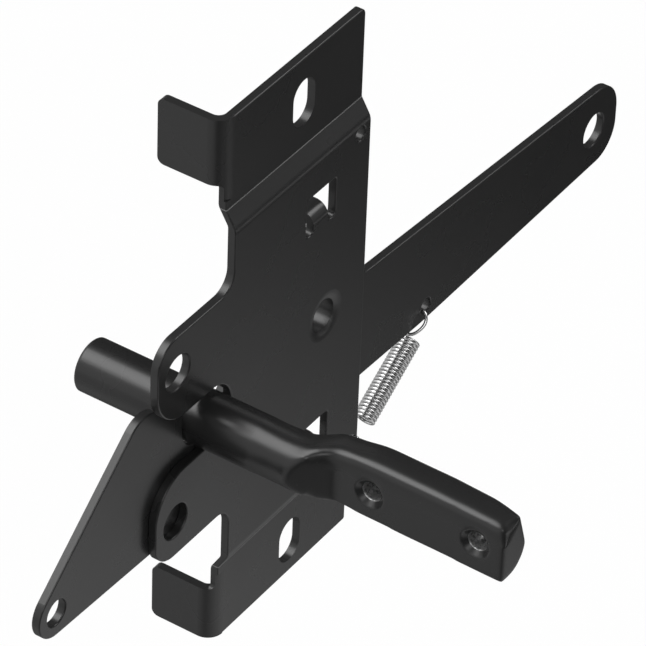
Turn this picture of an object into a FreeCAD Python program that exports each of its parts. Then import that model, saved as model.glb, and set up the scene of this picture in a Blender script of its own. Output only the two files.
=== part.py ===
import FreeCAD, Part
import math
import os

# Gate latch: stamped latch plate, swinging latch lever, extension spring and strike bar.
# Millimetres. +X runs along the plate's width to the lever's long arm, +Y points into the post,
# +Z is up. The origin is midway between the two mounting slots, on the plate's back face.

# Latch plate, driving sizes
sheet = 2.0                 # thickness of the stamped steel
plate_right = 22.5          # right edge of plate
top_margin = 11.7           # from the upper slot's centre to the top edge
bottom_margin = 9.3         # from the lower slot's centre to the bottom edge
crease_margin = 11.55       # from a slot's centre to the fold below the raised middle
pocket = 2.55               # depth of the pocket that the lever swings in
ramp_run = 4.3              # height that the fold takes to reach the raised middle
crease_inner_radius = 0.8
shoulder_inner_radius = 1.8
top_corner_radius = 1.6
bottom_corner_radius = 0.6

# Tabs bent back round the side of the post
tab_outer = -29.8           # outer face of tabs
tab_depth = 14.5            # how far the tabs reach behind the post face
tab_margin = 5.1            # from a slot's centre to the tab's edge nearest the middle
tab_bend_radius = 2.0       # inner radius of the fold
tab_corner_radius = 1.7
tab_relief_radius = 1.2

# Mounting slots in the flanges
slot_pitch = 122.0
slot_width = 8.1
slot_length = 11.85

# Middle of the plate: neck, two lobes and the jaw between them
neck_left = -28.0
neck_fillet = 4.8
lobe_left = -55.2
lobe_half_height = 30.2
lobe_corner_radius = 6.5
jaw_half_height = 7.5
jaw_end = -28.2
jaw_end_radius = 7.3
jaw_lip_radius = 10.4
padlock_hole_x = -48.1
padlock_hole_height = 20.5
padlock_hole_diameter = 8.6
spring_anchor_x = 18.6
spring_anchor_margins = (6.75, 4.95)    # from the folds, upper and lower
spring_anchor_diameter = 3.7

# Lanced windows, each with a tongue bent back from its lower edge
window_left = -1.35
window_width = 11.1
window_height = 10.3
window_tops = (36.6, -28.3)
window_corner_radius = 0.8
window_slot_radius = 1.15   # lower corners, in the slots beside the tongue
tongue_width = 5.4
tongue_root = 1.7           # flat root of the tongue above the window's lower edge
tongue_bend_radius = 1.2
tongue_tip_clearance = 0.05

# Pivot: a collar drawn back from the plate and flared into the lever
pivot_x = 7.3
pivot_z = 0.0
collar_bore_radius = 3.95
collar_wall = 1.15
collar_mouth_width = 2.4    # dished rim round the bore on the front
collar_mouth_depth = 0.6
flare_width = 1.05
collar_end_clearance = 0.1
pivot_clearance = 0.06
flare_clearance = 0.15

# Latch lever
lever_thickness = 2.0
lever_front_gap = 0.15      # running gap to the back of the plate
lever_slope = math.radians(40.5)
lever_slope_x = -70.0       # a point on the sloped upper edge
lever_slope_z = 3.9
lever_length = 227.0        # left end to right end
lever_left = -93.6
lever_tip_x = -103.4        # where the sloped and the lower edge would meet
lower_edge_x = -88.27       # a point on the lower edge
lower_edge_z = -25.3
lever_tip_radius = 6.2
hump_right_slope = math.radians(35.0)
hump_radius = 7.0
notch_lip_height = 5.0      # height of the hump's foot beside the notch
knee_x = 50.0
knee_z = -31.1
knee_radius = 60.0
lever_right_bottom = -30.4
lever_right_top = -9.7
lever_right_bottom_radius = 8.0
lever_right_top_radius = 9.5
arm_shoulder_x = 24.0
arm_shoulder_z = -0.8
arm_shoulder_radius = 5.0
hub_half_width = 12.2
hub_height = 13.0
hub_radius = 10.0
notch_lip_radius = 2.0
notch_right = -27.4         # side of the notch towards the pivot
notch_ledge = 1.5           # height where that side slants down to the bar's seat
notch_slant = 1.9
cord_hole_x = -87.6
cord_hole_z = -19.2
cord_hole_diameter = 6.4
pull_hole_margin = 10.1     # from the lever's right end
pull_hole_z = -20.0
pull_hole_diameter = 8.8
spring_hole_x = 52.4
spring_hole_z = -27.1
spring_hole_diameter = 3.8

# Strike bar: round rod, its front end forged to a flat with two screw holes
bar_x = -36.3
bar_diameter = 12.7
bar_length = 106.1
bar_front = -79.2
bar_seat_clearance = 0.3
forge_start = -26.5         # end of the plain round rod
forge_end = -37.0           # start of the flat section
flat_offset = 0.2           # flat face beyond the rod's axis
ramp_start = -28.4
ramp_end = -36.9
ramp_fillet = 3.0
screw_hole_ys = (-45.6, -72.0)
screw_hole_diameter = 4.5
screw_head_diameter = 7.2
bar_edge_chamfer = 0.5

# Sections of the forged end, from the rod to the tip: distance along the rod, then how far
# the metal reaches back, up and down from the rod's axis, and its two back corner radii
forge_sections = (
    (forge_start, 6.35, 6.35, 6.35, 6.3, 6.3),
    (forge_end, 9.4, 7.4, 6.4, 5.0, 5.0),
    (-46.0, 10.2, 7.9, 6.85, 5.0, 5.0),
    (-58.0, 10.1, 7.8, 7.1, 4.8, 5.0),
    (bar_front, 8.8, 7.2, 7.5, 3.0, 6.0),
)
forge_front_radius = 6.3
forge_lead = 3.0            # stretch of plain rod that leads into the forged end
forge_steps = 4
bevel_start = -67.0         # where the bevel on the tip's upper back corner begins
bevel_top = 5.9             # where the bevel meets the tip's top, from the rod's axis
bevel_low = -2.0            # where it meets the tip's back

# Extension spring
wire_diameter = 0.8
coil_outer_diameter = 5.5
top_hook_x = 4.4            # from the lever's hole to the upper end of the coils
top_hook_z = 7.4
top_hook_y = -1.35
bottom_hook_x = 9.6         # from the plate's hole to the lower end of the coils
bottom_hook_z = 0.1
bottom_hook_y = -2.4
loop_radius = 2.4
loop_seat = 1.2             # from the centre of a hole to the wire hooked in it

edge_radius = 0.35          # rounded edge on the punch side of the stampings

# Cutting tools
through = 60.0              # longer than any hole that a tool cuts
margin = 10.0               # how far a tool stands out of the metal

# Sizes worked out from those above
slot_height = slot_pitch / 2.0
flange_top = slot_height + top_margin
flange_bottom = slot_height + bottom_margin
crease_height = slot_height - crease_margin
tab_inner_edge = slot_height - tab_margin
spring_anchor_heights = (
    crease_height - spring_anchor_margins[0],
    spring_anchor_margins[1] - crease_height,
)
lever_right = lever_left + lever_length
pull_hole_x = lever_right - pull_hole_margin
bar_rear = bar_front + bar_length
middle_back = -pocket
middle_front = -pocket - sheet
lever_front = middle_back + lever_front_gap
lever_back = lever_front + lever_thickness
bar_radius = bar_diameter / 2.0
shoulder_height = crease_height - ramp_run
ramp_angle = math.atan2(pocket, ramp_run)
fold_shift = sheet * math.tan(ramp_angle / 2.0)
tab_fold_end = tab_outer + sheet + tab_bend_radius
tab_zone_start = (crease_height + tab_inner_edge) / 2.0 - 1.0
flat_x = bar_x - flat_offset


def on_front(x, z):
    return FreeCAD.Vector(x, 0.0, z)


def on_side(y, z):
    return FreeCAD.Vector(0.0, y, z)


def on_top(x, y):
    return FreeCAD.Vector(x, y, 0.0)


def rounded_wire(corners, place):
    """A closed outline of straight edges, each corner (a, b, radius) rounded by an arc."""
    points = [(place(a, b), radius) for a, b, radius in corners]
    pieces = []
    for index, (corner, radius) in enumerate(points):
        before = points[index - 1][0]
        after = points[(index + 1) % len(points)][0]
        if radius <= 0.0:
            pieces.append((corner, None, corner))
            continue
        to_before = (before - corner).normalize()
        to_after = (after - corner).normalize()
        half = to_before.getAngle(to_after) / 2.0
        reach = radius / math.tan(half)
        bisector = (to_before + to_after).normalize()
        centre = corner + bisector * (radius / math.sin(half))
        middle = centre - bisector * radius
        pieces.append((corner + to_before * reach, middle, corner + to_after * reach))
    edges = []
    for index, (start, middle, end) in enumerate(pieces):
        if middle is not None:
            edges.append(Part.Arc(start, middle, end).toShape())
        following = pieces[(index + 1) % len(pieces)][0]
        if end.distanceToPoint(following) > 1e-6:
            edges.append(Part.LineSegment(end, following).toShape())
    return Part.Wire(edges)


def front_prism(corners, y_start, y_end):
    face = Part.Face(rounded_wire(corners, on_front))
    face.translate(FreeCAD.Vector(0.0, y_start, 0.0))
    return face.extrude(FreeCAD.Vector(0.0, y_end - y_start, 0.0))


def side_prism(corners, x_start, x_end):
    face = Part.Face(rounded_wire(corners, on_side))
    face.translate(FreeCAD.Vector(x_start, 0.0, 0.0))
    return face.extrude(FreeCAD.Vector(x_end - x_start, 0.0, 0.0))


def top_prism(corners, z_start, z_end):
    face = Part.Face(rounded_wire(corners, on_top))
    face.translate(FreeCAD.Vector(0.0, 0.0, z_start))
    return face.extrude(FreeCAD.Vector(0.0, 0.0, z_end - z_start))


def hole_along_y(x, z, diameter):
    start = FreeCAD.Vector(x, -through / 2.0, z)
    return Part.makeCylinder(diameter / 2.0, through, start, FreeCAD.Vector(0, 1, 0))


def soften_front(shape, y_front, radius):
    """Round every edge that lies in the front plane at y_front."""
    edges = []
    for edge in shape.Edges:
        box = edge.BoundBox
        if abs(box.YMin - y_front) < 1e-4 and abs(box.YMax - y_front) < 1e-4:
            edges.append(edge)
    return shape.makeFillet(radius, edges)


def folded_sheet():
    """The flanges and the raised middle as one folded strip, seen from the side."""
    crease_outer = crease_inner_radius + sheet
    shoulder_outer = shoulder_inner_radius + sheet
    crease_back = crease_height + fold_shift
    shoulder_back = shoulder_height + fold_shift
    corners = [
        (0.0, flange_top, 0.0),
        (-sheet, flange_top, 0.0),
        (-sheet, crease_height, crease_inner_radius),
        (middle_front, shoulder_height, shoulder_outer),
        (middle_front, -shoulder_height, shoulder_outer),
        (-sheet, -crease_height, crease_inner_radius),
        (-sheet, -flange_bottom, 0.0),
        (0.0, -flange_bottom, 0.0),
        (0.0, -crease_back, crease_outer),
        (middle_back, -shoulder_back, shoulder_inner_radius),
        (middle_back, shoulder_back, shoulder_inner_radius),
        (0.0, crease_back, crease_outer),
    ]
    return side_prism(corners, lobe_left - 5.0, plate_right + 5.0)


def plate_outline():
    """Front outline: flanges, neck, two lobes and the jaw that takes the bar."""
    corners = [
        (plate_right, flange_top, top_corner_radius),
        (tab_fold_end, flange_top, 0.0),
        (tab_fold_end, tab_zone_start, 0.0),
        (neck_left, tab_zone_start, 0.0),
        (neck_left, lobe_half_height, neck_fillet),
        (lobe_left, lobe_half_height, lobe_corner_radius),
        (lobe_left, jaw_half_height, jaw_lip_radius),
        (jaw_end, jaw_half_height, jaw_end_radius),
        (jaw_end, -jaw_half_height, jaw_end_radius),
        (lobe_left, -jaw_half_height, jaw_lip_radius),
        (lobe_left, -lobe_half_height, lobe_corner_radius),
        (neck_left, -lobe_half_height, neck_fillet),
        (neck_left, -tab_zone_start, 0.0),
        (tab_fold_end, -tab_zone_start, 0.0),
        (tab_fold_end, -flange_bottom, 0.0),
        (plate_right, -flange_bottom, bottom_corner_radius),
    ]
    return front_prism(corners, middle_front - 5.0, 5.0)


def side_tab(outer_edge, sign):
    """One tab with its fold: sign is 1 for the upper tab and -1 for the lower one."""
    fold = top_prism(
        [
            (tab_fold_end, 0.0, 0.0),
            (tab_outer + sheet, 0.0, tab_bend_radius),
            (tab_outer + sheet, tab_depth, 0.0),
            (tab_outer, tab_depth, 0.0),
            (tab_outer, -sheet, tab_bend_radius + sheet),
            (tab_fold_end, -sheet, 0.0),
        ],
        min(sign * tab_zone_start, sign * outer_edge),
        max(sign * tab_zone_start, sign * outer_edge),
    )
    relief = front_prism(
        [
            (neck_left, sign * (tab_zone_start - margin), 0.0),
            (neck_left, sign * tab_inner_edge, tab_relief_radius),
            (tab_outer - margin, sign * tab_inner_edge, 0.0),
            (tab_outer - margin, sign * (tab_zone_start - margin), 0.0),
        ],
        -margin,
        tab_depth + margin,
    )
    behind_neck = Part.makeBox(
        tab_fold_end - tab_outer + 2.0,
        tab_depth + margin,
        tab_inner_edge - tab_zone_start + 1.0,
        FreeCAD.Vector(
            tab_outer - 1.0,
            0.0,
            min(sign * tab_inner_edge, sign * (tab_zone_start - 1.0)),
        ),
    )
    tab = fold.cut(relief).cut(behind_neck).removeSplitter()
    corner_edges = []
    for edge in tab.Edges:
        box = edge.BoundBox
        along_x = box.XLength > sheet - 0.01 and box.YLength < 1e-4 and box.ZLength < 1e-4
        if along_x and abs(box.YMax - tab_depth) < 1e-4:
            corner_edges.append(edge)
    return tab.makeFillet(tab_corner_radius, corner_edges)


def window_cut(top):
    """The opening of one lanced window, without the strip that stays as its tongue."""
    bottom = top - window_height
    right = window_left + window_width
    tongue_left = window_left + (window_width - tongue_width) / 2.0
    tongue_right = tongue_left + tongue_width
    bend = bottom + tongue_root
    upper = front_prism(
        [
            (window_left, bend, 0.0),
            (right, bend, 0.0),
            (right, top, window_corner_radius),
            (window_left, top, window_corner_radius),
        ],
        middle_front - 5.0,
        5.0,
    )
    for low, high in ((window_left, tongue_left), (tongue_right, right)):
        slot = front_prism(
            [
                (low, bottom, window_slot_radius),
                (high, bottom, window_slot_radius),
                (high, bend + 1.0, 0.0),
                (low, bend + 1.0, 0.0),
            ],
            middle_front - 5.0,
            5.0,
        )
        upper = upper.fuse(slot)
    return upper


def window_tongue(top):
    """The strip lanced from the window, folded square back towards the post's face."""
    bend = top - window_height + tongue_root
    inner = tongue_bend_radius
    outer = tongue_bend_radius + sheet
    tip = -tongue_tip_clearance
    foot = bend - edge_radius
    tongue_left = window_left + (window_width - tongue_width) / 2.0
    return side_prism(
        [
            (middle_front, foot, 0.0),
            (middle_front, bend + outer, outer),
            (tip, bend + outer, 0.0),
            (tip, bend + inner, 0.0),
            (middle_back, bend + inner, inner),
            (middle_back, foot, 0.0),
        ],
        tongue_left,
        tongue_left + tongue_width,
    )


def pivot_collar():
    """The drawn collar: dished mouth in the front, bore, and a flare behind the lever."""
    outer = collar_bore_radius + collar_wall
    mouth = collar_bore_radius + collar_mouth_width
    end = -collar_end_clearance
    flare_start = end - flare_width
    dish = (collar_mouth_width ** 2 + collar_mouth_depth ** 2) / (2.0 * collar_mouth_depth)
    half_turn = math.asin(collar_mouth_width / dish) / 2.0
    profile = [
        on_top(mouth, middle_front),
        on_top(
            mouth - dish * math.sin(half_turn),
            middle_front + dish * (1.0 - math.cos(half_turn)),
        ),
        on_top(collar_bore_radius, middle_front + collar_mouth_depth),
    ]
    points = [
        profile[2],
        on_top(collar_bore_radius, end),
        on_top(outer + flare_width, end),
        on_top(outer, flare_start),
        on_top(outer, middle_back),
        on_top(mouth, middle_back),
        profile[0],
    ]
    edges = [Part.Arc(profile[0], profile[1], profile[2]).toShape()]
    for start, finish in zip(points[:-1], points[1:]):
        edges.append(Part.LineSegment(start, finish).toShape())
    face = Part.Face(Part.Wire(edges))
    collar = face.revolve(FreeCAD.Vector(0, 0, 0), FreeCAD.Vector(0, 1, 0), 360.0)
    collar.translate(FreeCAD.Vector(pivot_x, 0.0, pivot_z))
    return collar


def mounting_slot(centre_z):
    half_width = slot_width / 2.0
    half_length = slot_length / 2.0
    corner = half_width - 0.02
    return front_prism(
        [
            (-half_width, centre_z - half_length, corner),
            (half_width, centre_z - half_length, corner),
            (half_width, centre_z + half_length, corner),
            (-half_width, centre_z + half_length, corner),
        ],
        middle_front - margin,
        margin,
    )


def latch_plate():
    plate = folded_sheet().common(plate_outline())
    for top in window_tops:
        plate = plate.cut(window_cut(top))
    for sign in (1, -1):
        plate = plate.cut(mounting_slot(sign * slot_pitch / 2.0))
        plate = plate.cut(hole_along_y(padlock_hole_x, sign * padlock_hole_height, padlock_hole_diameter))
    for height in spring_anchor_heights:
        plate = plate.cut(hole_along_y(spring_anchor_x, height, spring_anchor_diameter))
    plate = soften_front(plate, middle_front, edge_radius)
    mouth = 2.0 * (collar_bore_radius + collar_mouth_width)
    plate = plate.cut(hole_along_y(pivot_x, pivot_z, mouth))
    plate = plate.fuse(pivot_collar())
    plate = plate.fuse(side_tab(flange_top, 1))
    plate = plate.fuse(side_tab(flange_bottom, -1))
    for top in window_tops:
        plate = plate.fuse(window_tongue(top))
    return plate.removeSplitter()


def lower_edge_height(x):
    """Height of the lever's straight lower edge left of the knee."""
    slope = (knee_z - lower_edge_z) / (knee_x - lower_edge_x)
    return knee_z + slope * (x - knee_x)


def latch_lever():
    """Flat lever: sloped cam and notch on the left arm, plain tapering right arm."""
    tip_z = lower_edge_height(lever_tip_x)
    rise = math.tan(lever_slope)
    fall = math.tan(hump_right_slope)
    notch_left = bar_x - bar_radius - bar_seat_clearance
    offset = lever_slope_z - rise * lever_slope_x
    foot = notch_lip_height + fall * notch_left
    hump_x = (foot - offset) / (rise + fall)
    hump_z = offset + rise * hump_x
    tip_x = (tip_z - offset) / rise
    corners = [
        (tip_x, tip_z, lever_tip_radius),
        (knee_x, knee_z, knee_radius),
        (lever_right, lever_right_bottom, lever_right_bottom_radius),
        (lever_right, lever_right_top, lever_right_top_radius),
        (arm_shoulder_x, arm_shoulder_z, arm_shoulder_radius),
        (pivot_x + hub_half_width, pivot_z + hub_height, hub_radius),
        (notch_right, pivot_z + hub_height, notch_lip_radius),
        (notch_right, notch_ledge, 0.0),
        (notch_right - notch_slant, notch_ledge - notch_slant, 0.0),
        (bar_x, foot - fall * bar_x, 0.0),
        (hump_x, hump_z, hump_radius),
    ]
    lever = front_prism(corners, lever_front, lever_back)

    # The notch follows the bar's path about the pivot, so the lever swings clear of the bar
    reach = pivot_x - bar_x
    clear = bar_radius + bar_seat_clearance
    start = FreeCAD.Vector(pivot_x, lever_front - 1.0, pivot_z)
    axis = FreeCAD.Vector(0, 1, 0)
    path = Part.makeCylinder(reach + clear, through, start, axis)
    path = path.cut(Part.makeCylinder(reach - clear, through, start, axis))
    above_bar = Part.makeBox(
        2.0 * clear + 6.0,
        through,
        through,
        FreeCAD.Vector(bar_x - clear - 3.0, lever_front - 1.0, 0.0),
    )
    notch = path.common(above_bar)
    seat_start = FreeCAD.Vector(bar_x, lever_front - 1.0, 0.0)
    notch = notch.fuse(Part.makeCylinder(clear, through, seat_start, axis))
    lever = lever.cut(notch)
    lips = []
    for edge in lever.Edges:
        box = edge.BoundBox
        across = box.YLength > lever_thickness - 0.01 and box.XLength < 0.01 and box.ZLength < 0.01
        if across and abs(box.Center.x - notch_left) < 1.0 and box.Center.z > 1.0:
            lips.append(edge)
    lever = lever.makeFillet(notch_lip_radius, lips)

    # Pivot bore with a countersink that takes the collar's flare
    outer = collar_bore_radius + collar_wall
    bore = outer + pivot_clearance
    flare_start = -collar_end_clearance - flare_width - flare_clearance
    lever = lever.cut(hole_along_y(pivot_x, pivot_z, 2.0 * bore))
    sink_depth = lever_back - flare_start + 1.0
    sink = Part.makeCone(
        bore,
        bore + sink_depth,
        sink_depth,
        FreeCAD.Vector(pivot_x, flare_start, pivot_z),
        axis,
    )
    lever = lever.cut(sink)
    lever = lever.cut(hole_along_y(cord_hole_x, cord_hole_z, cord_hole_diameter))
    lever = lever.cut(hole_along_y(pull_hole_x, pull_hole_z, pull_hole_diameter))
    lever = lever.cut(hole_along_y(spring_hole_x, spring_hole_z, spring_hole_diameter))
    return soften_front(lever, lever_front, edge_radius)


def forged_section(y, back, up, down, upper_radius, lower_radius):
    """Rounded block section of the forged end, four sides and four corners."""
    left = bar_x - bar_radius
    wire = rounded_wire(
        [
            (bar_x + back, up, upper_radius),
            (left, up, forge_front_radius),
            (left, -down, forge_front_radius),
            (bar_x + back, -down, lower_radius),
        ],
        on_front,
    )
    wire.translate(FreeCAD.Vector(0.0, y, 0.0))
    return wire


def forged_end():
    """The forged end, its sections eased into each other along the rod."""
    sections = [round_section(forge_start + forge_lead), round_section(forge_start)]
    for start, finish in zip(forge_sections[:-1], forge_sections[1:]):
        for step in range(1, forge_steps + 1):
            along = step / forge_steps
            eased = (1.0 - math.cos(math.pi * along)) / 2.0
            sizes = [low + (high - low) * eased for low, high in zip(start[1:], finish[1:])]
            sections.append(forged_section(start[0] + (finish[0] - start[0]) * along, *sizes))
    return Part.makeLoft(sections, True, False)


def round_section(y):
    """The rod's circle as eight arcs, so that it lofts onto the forged section."""
    edges = []
    breaks = [22.5, 67.5, 112.5, 157.5, 202.5, 247.5, 292.5, 337.5, 382.5]
    for first, last in zip(breaks[:-1], breaks[1:]):
        angles = [math.radians(value) for value in (first, (first + last) / 2.0, last)]
        points = [
            FreeCAD.Vector(bar_x + bar_radius * math.cos(a), y, bar_radius * math.sin(a)) for a in angles
        ]
        edges.append(Part.Arc(*points).toShape())
    return Part.Wire(edges)


def strike_bar():
    lead_start = forge_start + forge_lead
    rod = Part.makeCylinder(
        bar_radius,
        bar_rear - lead_start,
        FreeCAD.Vector(bar_x, lead_start, 0.0),
        FreeCAD.Vector(0, 1, 0),
    )
    rear_edges = [edge for edge in rod.Edges if abs(edge.BoundBox.YMin - bar_rear) < 1e-4]
    rod = rod.makeChamfer(bar_edge_chamfer, rear_edges)
    bar = rod.fuse(forged_end())

    # Bevel on the upper back corner of the tip
    last = forge_sections[-1]
    middle_section = forge_sections[-2]
    corner = FreeCAD.Vector(bar_x + middle_section[1] - 0.75, bevel_start, middle_section[2] - 0.75)
    on_tip_top = FreeCAD.Vector(bar_x + bevel_top, bar_front, last[2])
    on_tip_back = FreeCAD.Vector(bar_x + last[1], bar_front, bevel_low)
    outward = (on_tip_top - corner).cross(on_tip_back - corner).normalize()
    if outward.z < 0.0:
        outward = -outward
    half = through / 2.0
    slab = Part.makeBox(through, through, through, FreeCAD.Vector(-half, -half, 0.0))
    slab.Placement = FreeCAD.Placement(corner, FreeCAD.Rotation(FreeCAD.Vector(0, 0, 1), outward))
    bar = bar.cut(slab)

    # The forged flat: a ramp cut into the rod, then a face on the rod's axis
    outside = bar_x - bar_radius - margin
    ramp_slope = (ramp_end - ramp_start) / (flat_x - (bar_x - bar_radius))
    flat_tool = top_prism(
        [
            (outside, ramp_start - margin * ramp_slope, 0.0),
            (flat_x, ramp_end, ramp_fillet),
            (flat_x, bar_front - margin, 0.0),
            (outside, bar_front - margin, 0.0),
        ],
        -through / 2.0,
        through / 2.0,
    )
    bar = bar.cut(flat_tool)
    head_depth = (screw_head_diameter - screw_hole_diameter) / 2.0
    for y in screw_hole_ys:
        start = FreeCAD.Vector(flat_x - 1.0, y, 0.0)
        bore = Part.makeCylinder(screw_hole_diameter / 2.0, through, start, FreeCAD.Vector(1, 0, 0))
        bar = bar.cut(bore)
        head = Part.makeCone(
            screw_head_diameter / 2.0,
            screw_hole_diameter / 2.0,
            head_depth,
            FreeCAD.Vector(flat_x, y, 0.0),
            FreeCAD.Vector(1, 0, 0),
        )
        bar = bar.cut(head)
    return bar.removeSplitter()


def spring_loop(hole, toward, body_end, body_rim):
    """A hooked end loop: a ring through the hole, and the wire from it to the coils."""
    direction = (toward - hole).normalize()
    seat = hole + direction * loop_seat
    centre = seat + direction * loop_radius
    normal = direction.cross(FreeCAD.Vector(0, 1, 0)).normalize()
    ring = Part.makeTorus(loop_radius, wire_diameter / 2.0, centre, normal)
    far = centre + direction * loop_radius
    reach = body_rim - far
    neck = Part.makeCylinder(wire_diameter / 2.0, reach.Length, far, reach)
    joint = Part.makeSphere(wire_diameter / 2.0, far)
    return ring.fuse(joint).fuse(neck)


def latch_spring():
    """Closed coil body as a tube of the coil's size, with a hooked loop at each end."""
    anchor_z = spring_anchor_heights[1]
    spring_top = FreeCAD.Vector(
        spring_hole_x - top_hook_x,
        top_hook_y,
        spring_hole_z - top_hook_z,
    )
    spring_bottom = FreeCAD.Vector(
        spring_anchor_x + bottom_hook_x,
        bottom_hook_y,
        anchor_z - bottom_hook_z,
    )
    axis = (spring_top - spring_bottom).normalize()
    length = spring_top.distanceToPoint(spring_bottom)
    outer = coil_outer_diameter / 2.0
    tube = Part.makeCylinder(outer, length, spring_bottom, axis)
    tube = tube.cut(Part.makeCylinder(outer - wire_diameter, length, spring_bottom, axis))
    middle_of_lever = (lever_front + lever_back) / 2.0
    lever_hole = FreeCAD.Vector(spring_hole_x, middle_of_lever, spring_hole_z)
    middle_of_sheet = (middle_front + middle_back) / 2.0
    anchor = FreeCAD.Vector(spring_anchor_x, middle_of_sheet, anchor_z)
    side = axis.cross(FreeCAD.Vector(0, 1, 0)).normalize()
    mean = outer - wire_diameter / 2.0
    top_rim = spring_top - axis * (wire_diameter / 2.0) - side * mean
    bottom_rim = spring_bottom + axis * (wire_diameter / 2.0) - side * mean
    spring = tube.fuse(spring_loop(lever_hole, spring_top, spring_top, top_rim))
    return spring.fuse(spring_loop(anchor, spring_bottom, spring_bottom, bottom_rim))


def write(name, shape):
    solid = shape.Solids[0] if len(shape.Solids) == 1 else shape
    box = solid.BoundBox
    print(name, "solids", len(shape.Solids), "valid", solid.isValid(), "volume", round(solid.Volume, 1))
    print("   x", round(box.XMin, 2), round(box.XMax, 2), "y", round(box.YMin, 2), round(box.YMax, 2),
          "z", round(box.ZMin, 2), round(box.ZMax, 2))
    solid.exportStep(os.path.join("parts", name + ".step"))


os.makedirs("parts", exist_ok=True)
write("latch_plate", latch_plate())
write("latch_lever", latch_lever())
write("latch_spring", latch_spring())
write("strike_bar", strike_bar())
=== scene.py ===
import math

import bpy
from mathutils import Matrix, Vector


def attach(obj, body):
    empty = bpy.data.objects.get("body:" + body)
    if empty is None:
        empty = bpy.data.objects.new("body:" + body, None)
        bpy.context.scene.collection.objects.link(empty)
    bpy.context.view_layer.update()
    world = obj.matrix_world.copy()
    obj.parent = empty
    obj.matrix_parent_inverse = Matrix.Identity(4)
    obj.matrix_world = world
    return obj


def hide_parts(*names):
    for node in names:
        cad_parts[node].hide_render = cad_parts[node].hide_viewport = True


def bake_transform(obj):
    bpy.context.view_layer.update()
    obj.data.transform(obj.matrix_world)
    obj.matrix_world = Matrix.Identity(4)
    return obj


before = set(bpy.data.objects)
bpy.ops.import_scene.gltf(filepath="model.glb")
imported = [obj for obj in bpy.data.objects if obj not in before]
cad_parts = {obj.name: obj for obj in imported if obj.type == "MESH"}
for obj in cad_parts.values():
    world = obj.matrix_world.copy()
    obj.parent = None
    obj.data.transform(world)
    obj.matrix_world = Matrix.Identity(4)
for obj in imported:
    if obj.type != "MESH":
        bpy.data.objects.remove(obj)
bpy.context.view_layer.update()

# Camera. A long lens held up and to the left of the latch, looking down across the jaw, so
# that the plate's front, the tabs' outer faces and the bar's forged flat all show.
camera_right = Vector((0.56493004, -0.82459962, 0.02982473))
camera_up = Vector((0.50402881, 0.37347507, 0.77876269))
camera_back = Vector((-0.65330622, -0.42491392, 0.62660925))
camera_place = Vector((-0.732426, -0.485481, 0.707969))
camera_data = bpy.data.cameras.new("camera")
camera_data.sensor_width = 36.0
camera_data.lens = 289.34
camera_data.shift_x = -0.00209
camera_data.shift_y = -0.00302
camera_data.clip_start = 0.05
camera_data.clip_end = 20.0
camera = bpy.data.objects.new("camera", camera_data)
bpy.context.scene.collection.objects.link(camera)
turn = Matrix((camera_right, camera_up, camera_back)).transposed()
camera.matrix_world = Matrix.Translation(camera_place) @ turn.to_4x4()
bpy.context.scene.camera = camera
bpy.context.scene.view_settings.view_transform = "Standard"

# Floor. A plain pale sweep well below the latch, white where the camera sees it, with a small
# share of paint that takes shadow. For other rays it has pools of light that the coat
# mirrors, each with its centre, width and strength, and grows paler to the left and behind.
floor_size = 8.0
floor_height = -0.25
shadow_share = 0.08
paint_colour = (0.9, 0.9, 0.9, 1.0)
full_white = (1.0, 1.0, 1.0, 1.0)
dim_level = 0.04
light_pools = (
    ((0.0, -0.21, floor_height), 0.42, 0.68),
    ((0.28, 0.15, floor_height), 0.26, 1.5),
    ((0.60, -0.60, floor_height), 0.30, 1.2),
    ((0.28, -1.40, floor_height), 0.70, 3.0),
)
pale_way = (-0.6, 0.8, 0.0)
pale_reach = (0.07, 0.24)
pale_levels = (0.0, 0.42)


def added(tree, first, second):
    """The sum of two sockets."""
    add = tree.nodes.new("ShaderNodeMath")
    add.operation = "ADD"
    tree.links.new(first, add.inputs[0])
    tree.links.new(second, add.inputs[1])
    return add.outputs["Value"]


def mapped(tree, value, from_range, to_range, interpolation="LINEAR"):
    """The value moved from one range to another."""
    change = tree.nodes.new("ShaderNodeMapRange")
    change.interpolation_type = interpolation
    change.inputs["From Min"].default_value = from_range[0]
    change.inputs["From Max"].default_value = from_range[1]
    change.inputs["To Min"].default_value = to_range[0]
    change.inputs["To Max"].default_value = to_range[1]
    tree.links.new(value, change.inputs["Value"])
    return change.outputs["Result"]


def compared(tree, operation, socket, constant):
    """The distance or dot product between a vector socket and a constant vector."""
    compare = tree.nodes.new("ShaderNodeVectorMath")
    compare.operation = operation
    compare.inputs[1].default_value = constant
    tree.links.new(socket, compare.inputs[0])
    return compare.outputs["Value"]


def seen_by_camera(tree, in_view, elsewhere, output_type):
    """Ends the tree in one shader for what the camera sees and one for all other rays."""
    path = tree.nodes.new("ShaderNodeLightPath")
    choose = tree.nodes.new("ShaderNodeMixShader")
    tree.links.new(path.outputs["Is Camera Ray"], choose.inputs["Fac"])
    tree.links.new(elsewhere, choose.inputs[1])
    tree.links.new(in_view, choose.inputs[2])
    out = tree.nodes.new(output_type)
    tree.links.new(choose.outputs["Shader"], out.inputs["Surface"])


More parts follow.
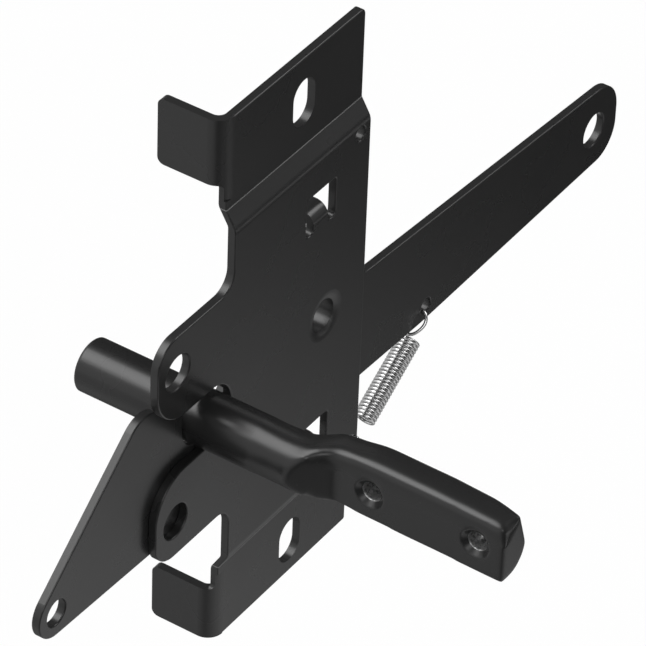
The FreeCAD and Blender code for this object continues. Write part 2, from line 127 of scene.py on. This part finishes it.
bpy.ops.object.select_all(action="DESELECT")
bpy.ops.mesh.primitive_plane_add(size=floor_size, location=(0.0, 0.0, floor_height))
floor = bpy.context.active_object
floor.name = "floor"
bpy.ops.object.transform_apply(location=True)
floor_material = bpy.data.materials.new("pale_floor")
floor_material.use_nodes = True
tree = floor_material.node_tree
tree.nodes.clear()
where = tree.nodes.new("ShaderNodeTexCoord").outputs["Object"]
dim = tree.nodes.new("ShaderNodeValue")
dim.outputs["Value"].default_value = dim_level
level = dim.outputs["Value"]
for centre, width, strength in light_pools:
    away = compared(tree, "DISTANCE", where, centre)
    pool = mapped(tree, away, (0.0, width), (strength, 0.0), "SMOOTHERSTEP")
    level = added(tree, level, pool)
across = compared(tree, "DOT_PRODUCT", where, pale_way)
sweep = mapped(tree, across, pale_reach, pale_levels, "SMOOTHSTEP")
glow = tree.nodes.new("ShaderNodeEmission")
tree.links.new(added(tree, level, sweep), glow.inputs["Strength"])
white = tree.nodes.new("ShaderNodeEmission")
white.inputs["Color"].default_value = full_white
paint = tree.nodes.new("ShaderNodeBsdfDiffuse")
paint.inputs["Color"].default_value = paint_colour
pale = tree.nodes.new("ShaderNodeMixShader")
pale.inputs["Fac"].default_value = shadow_share
tree.links.new(white.outputs["Emission"], pale.inputs[1])
tree.links.new(paint.outputs["BSDF"], pale.inputs[2])
seen_by_camera(tree, pale.outputs["Shader"], glow.outputs["Emission"], "ShaderNodeOutputMaterial")
floor.data.materials.append(floor_material)

# Surroundings. A dim studio, paler to the left and behind, with four soft lamps: high behind
# the latch, small and bright in front to the right, low and weak beside that, and at the
# camera's side. Each lamp has its direction, its reach in degrees and its strength.
lamps = (
    ((-0.28, 0.43, 0.86), 33.0, 3.9),
    ((0.66, -0.38, 0.65), 18.0, 4.5),
    ((0.65, -0.75, 0.10), 40.0, 0.4),
    ((-0.58, -0.58, 0.57), 24.0, 2.4),
)
room_reach = (0.0, 0.7)
room_levels = (0.05, 0.70)
world = bpy.data.worlds.new("studio")
bpy.context.scene.world = world
world.use_nodes = True
tree = world.node_tree
tree.nodes.clear()
way = tree.nodes.new("ShaderNodeTexCoord").outputs["Generated"]
across = compared(tree, "DOT_PRODUCT", way, pale_way)
level = mapped(tree, across, room_reach, room_levels, "SMOOTHSTEP")
for centre, reach, strength in lamps:
    toward = compared(tree, "DOT_PRODUCT", way, Vector(centre).normalized())
    edge = math.cos(math.radians(reach))
    lamp = mapped(tree, toward, (edge, 1.0), (0.0, strength), "SMOOTHERSTEP")
    level = added(tree, level, lamp)
room = tree.nodes.new("ShaderNodeBackground")
room.inputs["Color"].default_value = full_white
tree.links.new(level, room.inputs["Strength"])
clear = tree.nodes.new("ShaderNodeBackground")
clear.inputs["Color"].default_value = full_white
seen_by_camera(tree, clear.outputs["Background"], room.outputs["Background"], "ShaderNodeOutputWorld")

# Coating. The sheet parts and the bar wear the same semi-gloss black dip coat: a very fine
# orange peel, slightly uneven gloss, and a few specks of dust.
peel_scale = 420.0
peel_height = 0.0002
peel_strength = 0.05
cloud_scale = 38.0
cloud_range = (0.3, 0.7)
gloss_range = (-0.025, 0.025)
speck_scale = 260.0
speck_sizes = (0.03, 0.07)
speck_tones = (0.010, 0.0)
coat_index = 1.5


def node_group(name, inputs, outputs):
    """A new node group with its named sockets, and the sockets inside it."""
    group = bpy.data.node_groups.new(name, "ShaderNodeTree")
    for sockets, direction in ((inputs, "INPUT"), (outputs, "OUTPUT")):
        for socket, kind in sockets:
            group.interface.new_socket(socket, in_out=direction, socket_type="NodeSocket" + kind)
    ins = group.nodes.new("NodeGroupInput").outputs
    outs = group.nodes.new("NodeGroupOutput").inputs
    return group, ins, outs


def noise(tree, place, scale, detail):
    """A noise texture's value at a place."""
    texture = tree.nodes.new("ShaderNodeTexNoise")
    texture.inputs["Scale"].default_value = scale
    texture.inputs["Detail"].default_value = detail
    tree.links.new(place, texture.inputs["Vector"])
    return texture.outputs["Fac"]


coat_group, ins, outs = node_group(
    "black_coat",
    (("Position", "Vector"), ("Tone", "Float"), ("Gloss", "Float")),
    (("Color", "Color"), ("Roughness", "Float"), ("Height", "Float")),
)
peel = noise(coat_group, ins["Position"], peel_scale, detail=3.0)
coat_group.links.new(peel, outs["Height"])
cloud = noise(coat_group, ins["Position"], cloud_scale, detail=4.0)
uneven = mapped(coat_group, cloud, cloud_range, gloss_range)
coat_group.links.new(added(coat_group, ins["Gloss"], uneven), outs["Roughness"])
speck = coat_group.nodes.new("ShaderNodeTexVoronoi")
speck.inputs["Scale"].default_value = speck_scale
coat_group.links.new(ins["Position"], speck.inputs["Vector"])
dots = mapped(coat_group, speck.outputs["Distance"], speck_sizes, speck_tones)
tone = added(coat_group, ins["Tone"], dots)
grey = coat_group.nodes.new("ShaderNodeCombineColor")
for channel in ("Red", "Green", "Blue"):
    coat_group.links.new(tone, grey.inputs[channel])
coat_group.links.new(grey.outputs["Color"], outs["Color"])


def coated(name, tone_level, gloss_level):
    """A material that wears the black coat, with its own darkness and gloss."""
    material = bpy.data.materials.new(name)
    material.use_nodes = True
    tree = material.node_tree
    shader = tree.nodes["Principled BSDF"]
    shader.inputs["IOR"].default_value = coat_index
    where = tree.nodes.new("ShaderNodeTexCoord").outputs["Object"]
    coat = tree.nodes.new("ShaderNodeGroup")
    coat.node_tree = coat_group
    coat.inputs["Tone"].default_value = tone_level
    coat.inputs["Gloss"].default_value = gloss_level
    tree.links.new(where, coat.inputs["Position"])
    tree.links.new(coat.outputs["Color"], shader.inputs["Base Color"])
    tree.links.new(coat.outputs["Roughness"], shader.inputs["Roughness"])
    bump = tree.nodes.new("ShaderNodeBump")
    bump.inputs["Strength"].default_value = peel_strength
    bump.inputs["Distance"].default_value = peel_height
    tree.links.new(coat.outputs["Height"], bump.inputs["Height"])
    tree.links.new(bump.outputs["Normal"], shader.inputs["Normal"])
    return material


# Latch plate. One stamping of 2 mm steel, folded at both flanges and round the post's side,
# dip coated after forming, and fixed to the post through the slot in each flange. A thin
# lighter line along the creases of its raised middle is a painted highlight.
plate_tone = 0.024
plate_gloss = 0.28
# The thin band at the creases' height gets a lighter base colour: a painted highlight.
crease_height = 0.04945
crease_half_width = 0.00013
crease_highlight_colour = (0.22, 0.22, 0.22, 1.0)
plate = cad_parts["latch_plate"]
plate.data.materials.clear()
plate_coat = coated("plate_coat", plate_tone, plate_gloss)
tree = plate_coat.node_tree
shader = tree.nodes["Principled BSDF"]
where = tree.nodes.new("ShaderNodeTexCoord").outputs["Object"]
height = tree.nodes.new("ShaderNodeSeparateXYZ")
tree.links.new(where, height.inputs["Vector"])
either_side = tree.nodes.new("ShaderNodeMath")
either_side.operation = "ABSOLUTE"
tree.links.new(height.outputs["Z"], either_side.inputs[0])
crease = tree.nodes.new("ShaderNodeMath")
crease.operation = "COMPARE"
crease.inputs[1].default_value = crease_height
crease.inputs[2].default_value = crease_half_width
tree.links.new(either_side.outputs["Value"], crease.inputs[0])
# Painted highlight: the coat's colour is mixed toward light grey inside the crease band.
painted_crease_highlight = tree.nodes.new("ShaderNodeMix")
painted_crease_highlight.data_type = "RGBA"
painted_crease_highlight.inputs["B"].default_value = crease_highlight_colour
tree.links.new(crease.outputs["Value"], painted_crease_highlight.inputs["Factor"])
tree.links.new(shader.inputs["Base Color"].links[0].from_socket, painted_crease_highlight.inputs["A"])
tree.links.new(painted_crease_highlight.outputs["Result"], shader.inputs["Base Color"])
plate.data.materials.append(plate_coat)

# Latch lever. Flat blanked steel behind the plate, which turns on the collar drawn out of the
# plate. It is coated like the plate, the walls of its holes too.
lever_tone = 0.023
lever_gloss = 0.28
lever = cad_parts["latch_lever"]
lever.data.materials.clear()
lever.data.materials.append(coated("lever_coat", lever_tone, lever_gloss))

# Strike bar. Half-inch round rod, its end forged flat by the hammer so that its forms run
# softly into each other, and coated a little smoother than the sheet parts. The flat has two
# countersunk holes for the screws that fix it.
bar_tone = 0.020
bar_gloss = 0.26
bar_mesh_size = 0.00032
screw_places = (-0.0456, -0.0720)
screw_clear_radius = 0.0042
screw_fade = 0.001
forging_start = -0.018
forging_fade = 0.006
forging_passes = 45
corner_x = -0.0361
corner_z = 0.0076
corner_reach = 0.0052
corner_fade = 0.0022
crown_start = -0.032
crown_fade = 0.005
crown_passes = 420
shoulder_start = -0.0185
shoulder_rise = 0.003
shoulder_end = -0.0340
shoulder_fall = 0.004
shoulder_passes = 260
ramp_foot_x = -0.0400
ramp_foot_y = -0.0275
even_passes = 3


def held(share):
    """The share, held between 0 and 1."""
    return min(1.0, max(0.0, share))


def hammered(place):
    """Everywhere forward of the round rod, apart from the screw holes' surroundings."""
    from_screw = min(math.hypot(place.y - screw, place.z) for screw in screw_places)
    toward_tip = held((forging_start - place.y) / forging_fade)
    return toward_tip * held((from_screw - screw_clear_radius) / screw_fade)


def crown(place):
    """The corner between the forged flat and the bar's top."""
    from_corner = math.hypot(place.x - corner_x, place.z - corner_z)
    toward_tip = held((crown_start - place.y) / crown_fade)
    return toward_tip * held((corner_reach - from_corner) / corner_fade)


def shoulder(place):
    """The stretch where the round rod turns into the forging, apart from the ramp's face."""
    rise = held((shoulder_start - place.y) / shoulder_rise)
    fall = held((place.y - shoulder_end) / shoulder_fall)
    behind_flat = 1.0 if place.x > ramp_foot_x or place.y > ramp_foot_y else 0.0
    return rise * fall * behind_flat


def weigh(piece, name, weight_at):
    """Gives the piece a vertex group whose weights come from each vertex's place."""
    group = piece.vertex_groups.new(name=name)
    for vertex in piece.data.vertices:
        group.add([vertex.index], weight_at(vertex.co), "REPLACE")


def soften(piece, group_name, passes):
    """Smooths the active piece where the group has weight, or all over without a group."""
    smoothing = piece.modifiers.new("softened", "SMOOTH")
    smoothing.factor = 0.5
    smoothing.iterations = passes
    smoothing.vertex_group = group_name
    bpy.ops.object.modifier_apply(modifier=smoothing.name)


bar_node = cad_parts["strike_bar"]
bpy.ops.object.select_all(action="DESELECT")
bar = bpy.data.objects.new("bar_forging", bar_node.data.copy())
bpy.context.scene.collection.objects.link(bar)
bar.select_set(True)
bpy.context.view_layer.objects.active = bar
bar.data.remesh_voxel_size = bar_mesh_size
bpy.ops.object.voxel_remesh()
weigh(bar, "forged", hammered)
soften(bar, "forged", forging_passes)
# Both areas are marked out before either of them is smoothed, so that they don't shift.
weigh(bar, "crown", crown)
weigh(bar, "shoulder", shoulder)
soften(bar, "shoulder", shoulder_passes)
soften(bar, "crown", crown_passes)
soften(bar, "", even_passes)
bpy.ops.object.shade_smooth()

# The screw holes were drilled after coating. Their walls show grey steel, mottled where some
# of the coat was dragged along.
bare_radius = 0.0024
bare_steel = (0.50, 0.50, 0.50, 1.0)
bare_roughness = 0.45
mottle_scale = 1600.0
mottle_range = (0.42, 0.56)
metal_range = (0.25, 1.0)
bare_group, ins, outs = node_group(
    "bare_bore",
    (("Position", "Vector"), ("Distance", "Float"), ("Radius", "Float"),
     ("Coat Color", "Color"), ("Coat Roughness", "Float")),
    (("Color", "Color"), ("Roughness", "Float"), ("Metallic", "Float")),
)
inside = bare_group.nodes.new("ShaderNodeMath")
inside.operation = "LESS_THAN"
bare_group.links.new(ins["Distance"], inside.inputs[0])
bare_group.links.new(ins["Radius"], inside.inputs[1])
mottle = noise(bare_group, ins["Position"], mottle_scale, detail=3.0)
metal = bare_group.nodes.new("ShaderNodeMath")
metal.operation = "MULTIPLY"
bare_group.links.new(inside.outputs["Value"], metal.inputs[0])
bare_group.links.new(mapped(bare_group, mottle, mottle_range, metal_range), metal.inputs[1])
bare_group.links.new(metal.outputs["Value"], outs["Metallic"])
steel = bare_group.nodes.new("ShaderNodeMix")
steel.data_type = "RGBA"
steel.inputs["B"].default_value = bare_steel
bare_group.links.new(metal.outputs["Value"], steel.inputs["Factor"])
bare_group.links.new(ins["Coat Color"], steel.inputs["A"])
bare_group.links.new(steel.outputs["Result"], outs["Color"])
rough = bare_group.nodes.new("ShaderNodeMix")
rough.inputs["B"].default_value = bare_roughness
bare_group.links.new(metal.outputs["Value"], rough.inputs["Factor"])
bare_group.links.new(ins["Coat Roughness"], rough.inputs["A"])
bare_group.links.new(rough.outputs["Result"], outs["Roughness"])
bar_coat = coated("bar_coat", bar_tone, bar_gloss)
tree = bar_coat.node_tree
shader = tree.nodes["Principled BSDF"]
where = tree.nodes.new("ShaderNodeTexCoord").outputs["Object"]
flatten = tree.nodes.new("ShaderNodeVectorMath")
flatten.operation = "MULTIPLY"
flatten.inputs[1].default_value = (0.0, 1.0, 1.0)
tree.links.new(where, flatten.inputs[0])
nearest = tree.nodes.new("ShaderNodeMath")
nearest.operation = "MINIMUM"
for screw, socket in zip(screw_places, nearest.inputs):
    away = compared(tree, "DISTANCE", flatten.outputs["Vector"], (0.0, screw, 0.0))
    tree.links.new(away, socket)
bare = tree.nodes.new("ShaderNodeGroup")
bare.node_tree = bare_group
bare.inputs["Radius"].default_value = bare_radius
tree.links.new(where, bare.inputs["Position"])
tree.links.new(nearest.outputs["Value"], bare.inputs["Distance"])
tree.links.new(shader.inputs["Base Color"].links[0].from_socket, bare.inputs["Coat Color"])
tree.links.new(shader.inputs["Roughness"].links[0].from_socket, bare.inputs["Coat Roughness"])
tree.links.new(bare.outputs["Color"], shader.inputs["Base Color"])
tree.links.new(bare.outputs["Roughness"], shader.inputs["Roughness"])
tree.links.new(bare.outputs["Metallic"], shader.inputs["Metallic"])
bar.data.materials.clear()
bar.data.materials.append(bar_coat)
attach(bar, "fixed")
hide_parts("strike_bar")

# Extension spring. Close coils of bright plated wire. The upper end loop stands across the
# lever and goes round its lower edge and through its small hole. The lower end runs behind
# the plate and hooks forward through the plate's hole.
wire_radius = 0.0004
coil_radius = 0.00235
turns = 25
points_per_turn = 32
points_past_turns = 4
coil_top = Vector((0.0480, -0.00135, -0.0345))
coil_bottom = Vector((0.0282, -0.0024, -0.0446))
lever_hole = Vector((0.0524, -0.0014, -0.0271))
plate_hole = Vector((0.0186, -0.00355, -0.0441))
loop_radius = 0.00255
loop_reach = 0.00383
loop_turn = math.radians(300.0)
loop_steps = 52
loop_way = Vector((-0.66, 0.0, -0.75)).normalized()
lead_pull = 0.006
lead_steps = 12
hook_radius = 0.00155
hook_right = 0.0212
hook_turn = math.radians(200.0)
hook_steps = 24
plating_scale = 900.0
plating_levels = (0.55, 0.90)
plating_roughness = (0.14, 0.30)
backward = Vector((0.0, 1.0, 0.0))
run = (coil_bottom - coil_top).normalized()
rear = (backward - run * backward.dot(run)).normalized()
upper = rear.cross(run)
path_points = []

# The upper loop ends where the coils begin.
loop_centre = lever_hole + loop_way * loop_reach
first = coil_top + upper * coil_radius
for step in range(loop_steps, -1, -1):
    turn_by = loop_turn * step / loop_steps
    ring = loop_centre + (loop_way * math.cos(turn_by) - backward * math.sin(turn_by)) * loop_radius
    near = max(0.0, math.cos(turn_by)) ** 2 if turn_by < math.pi / 2.0 else 0.0
    path_points.append(ring + (first - loop_centre - loop_way * loop_radius) * near)

# The coils lie close, from the lever's side down to the plate's.
total = turns * points_per_turn + points_past_turns
for step in range(1, total + 1):
    turn_by = 2.0 * math.pi * step / points_per_turn
    centre = coil_top.lerp(coil_bottom, step / total)
    path_points.append(centre + (upper * math.cos(turn_by) + rear * math.sin(turn_by)) * coil_radius)

# The lead carries on from the last coil and swings round to run to the left.
leave = path_points[-1]
leave_way = (path_points[-1] - path_points[-2]).normalized()
arrive = Vector((hook_right, plate_hole.y + hook_radius, plate_hole.z))
for step in range(1, lead_steps + 1):
    at = step / lead_steps
    path_points.append(leave * (2.0 * at ** 3 - 3.0 * at ** 2 + 1.0)
                       + leave_way * lead_pull * (at ** 3 - 2.0 * at ** 2 + at)
                       + arrive * (3.0 * at ** 2 - 2.0 * at ** 3)
                       + Vector((-lead_pull, 0.0, 0.0)) * (at ** 3 - at ** 2))

# The hook bends forward through the plate's hole and back to the right in front.
for step in range(1, hook_steps + 1):
    turn_by = hook_turn * step / hook_steps
    path_points.append(Vector((hook_right - hook_radius * math.sin(turn_by),
                               plate_hole.y + hook_radius * math.cos(turn_by),
                               plate_hole.z)))
wire_path = bpy.data.curves.new("spring_path", "CURVE")
wire_path.dimensions = "3D"
wire_path.bevel_depth = wire_radius
wire_path.bevel_resolution = 3
wire_path.use_fill_caps = True
line = wire_path.splines.new("POLY")
line.points.add(len(path_points) - 1)
for point, at in zip(line.points, path_points):
    point.co = (at.x, at.y, at.z, 1.0)
spring = bpy.data.objects.new("spring_wire", wire_path)
bpy.context.scene.collection.objects.link(spring)
bpy.ops.object.select_all(action="DESELECT")
spring.select_set(True)
bpy.context.view_layer.objects.active = spring
bpy.ops.object.convert(target="MESH")
spring = bpy.context.active_object
bpy.ops.object.shade_smooth()
wire_material = bpy.data.materials.new("plated_wire")
wire_material.use_nodes = True
tree = wire_material.node_tree
shader = tree.nodes["Principled BSDF"]
shader.inputs["Metallic"].default_value = 1.0
where = tree.nodes.new("ShaderNodeTexCoord").outputs["Object"]
grain = noise(tree, where, plating_scale, detail=3.0)
plating = mapped(tree, grain, (0.0, 1.0), plating_levels)
tree.links.new(plating, shader.inputs["Base Color"])
rubbing = mapped(tree, grain, (0.0, 1.0), plating_roughness)
tree.links.new(rubbing, shader.inputs["Roughness"])
spring.data.materials.append(wire_material)
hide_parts("latch_spring")
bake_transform(spring)
